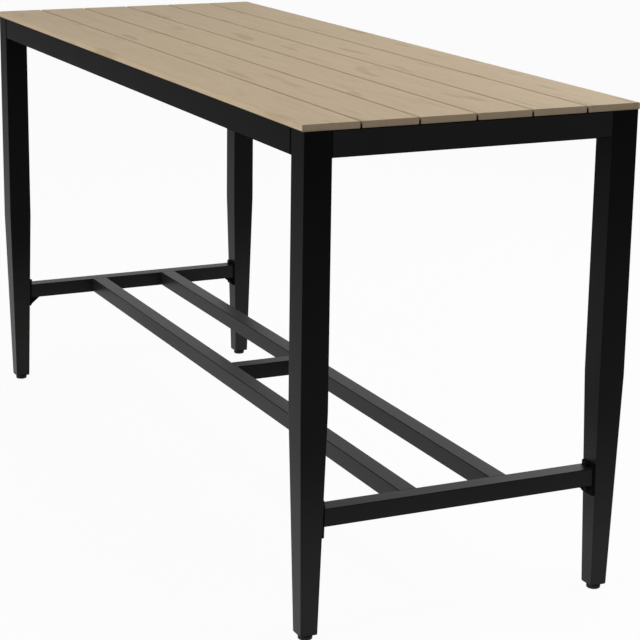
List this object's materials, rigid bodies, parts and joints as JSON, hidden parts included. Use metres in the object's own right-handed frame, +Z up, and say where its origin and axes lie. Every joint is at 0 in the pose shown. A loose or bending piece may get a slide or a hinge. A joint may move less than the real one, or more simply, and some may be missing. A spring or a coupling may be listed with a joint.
{
  "type": "bar table",
  "caption": "High rectangular table with a slatted board top, tapered square metal legs, an H-shaped footrest and screw feet.",
  "frame": {"origin": "on the floor, under the middle of the table", "axes": "+Z up, +X along the table towards the end that is nearer in the picture, -Y the long side that faces the viewer"},
  "size_m": [2.003, 0.748, 1.05],
  "materials": {
    "slat_board": "matt greige oak look, grain along the slats",
    "black_powder_coat": "fine satin black powder coat",
    "black_plug": "matt",
    "black_glide": "matt, slightly worn underside",
    "zinc_steel": "bright zinc plate",
    "blackened_steel": "black zinc plate"
  },
  "bodies": {
    "table": {"slat_1": "slat_board", "slat_2": "slat_board", "slat_3": "slat_board", "slat_4": "slat_board", "slat_5": "slat_board", "slat_6": "slat_board", "apron_front": "black_powder_coat", "apron_back": "black_powder_coat", "apron_left": "black_powder_coat", "apron_right": "black_powder_coat", "batten_left": "black_powder_coat", "batten_middle": "black_powder_coat", "batten_right": "black_powder_coat", "leg_front_left": "black_powder_coat", "leg_front_right": "black_powder_coat", "leg_back_left": "black_powder_coat", "leg_back_right": "black_powder_coat", "stretcher_left": "black_powder_coat", "stretcher_right": "black_powder_coat", "rail_front": "black_powder_coat", "rail_back": "black_powder_coat", "end_plate_front_left": "black_powder_coat", "end_plate_front_right": "black_powder_coat", "end_plate_back_left": "black_powder_coat", "end_plate_back_right": "black_powder_coat", "corner_bracket_front_left": "black_powder_coat", "corner_bracket_front_right": "black_powder_coat", "corner_bracket_back_left": "black_powder_coat", "corner_bracket_back_right": "black_powder_coat", "cross_brace": "black_powder_coat", "leg_plug_front_left": "black_plug", "leg_plug_front_right": "black_plug", "leg_plug_back_left": "black_plug", "leg_plug_back_right": "black_plug", "footrest_rivet_nuts": "zinc_steel", "bracket_rivet_nuts": "zinc_steel", "slat_screws": "zinc_steel", "footrest_bolts": "blackened_steel", "bracket_bolts": "blackened_steel"},
    "pad_front_left": {"foot_pad_front_left": "black_glide"},
    "stud_front_left": {"foot_stud_front_left": "zinc_steel"},
    "pad_front_right": {"foot_pad_front_right": "black_glide"},
    "stud_front_right": {"foot_stud_front_right": "zinc_steel"},
    "pad_back_left": {"foot_pad_back_left": "black_glide"},
    "stud_back_left": {"foot_stud_back_left": "zinc_steel"},
    "pad_back_right": {"foot_pad_back_right": "black_glide"},
    "stud_back_right": {"foot_stud_back_right": "zinc_steel"}
  },
  "joints": [
    {"name": "foot_slide_front_left", "type": "slide", "parent": "table", "child": "pad_front_left", "axis": [0, 0, -1], "range_m": [0, 0.0075]},
    {"name": "stud_turn_front_left", "type": "hinge", "parent": "pad_front_left", "child": "stud_front_left", "pos_m": [-0.972, -0.3405, 0.01], "axis": [0, 0, -1], "range_deg": [0, 2160]},
    {"name": "foot_slide_front_right", "type": "slide", "parent": "table", "child": "pad_front_right", "axis": [0, 0, -1], "range_m": [0, 0.0075]},
    {"name": "stud_turn_front_right", "type": "hinge", "parent": "pad_front_right", "child": "stud_front_right", "pos_m": [0.972, -0.3405, 0.01], "axis": [0, 0, -1], "range_deg": [0, 2160]},
    {"name": "foot_slide_back_left", "type": "slide", "parent": "table", "child": "pad_back_left", "axis": [0, 0, -1], "range_m": [0, 0.0075]},
    {"name": "stud_turn_back_left", "type": "hinge", "parent": "pad_back_left", "child": "stud_back_left", "pos_m": [-0.972, 0.3405, 0.01], "axis": [0, 0, -1], "range_deg": [0, 2160]},
    {"name": "foot_slide_back_right", "type": "slide", "parent": "table", "child": "pad_back_right", "axis": [0, 0, -1], "range_m": [0, 0.0075]},
    {"name": "stud_turn_back_right", "type": "hinge", "parent": "pad_back_right", "child": "stud_back_right", "pos_m": [0.972, 0.3405, 0.01], "axis": [0, 0, -1], "range_deg": [0, 2160]}
  ],
  "couplings": [
    {"joint": "foot_slide_front_left", "follows": "stud_turn_front_left", "m_per_rad": 0.00019894},
    {"joint": "foot_slide_front_right", "follows": "stud_turn_front_right", "m_per_rad": 0.00019894},
    {"joint": "foot_slide_back_left", "follows": "stud_turn_back_left", "m_per_rad": 0.00019894},
    {"joint": "foot_slide_back_right", "follows": "stud_turn_back_right", "m_per_rad": 0.00019894}
  ]
}
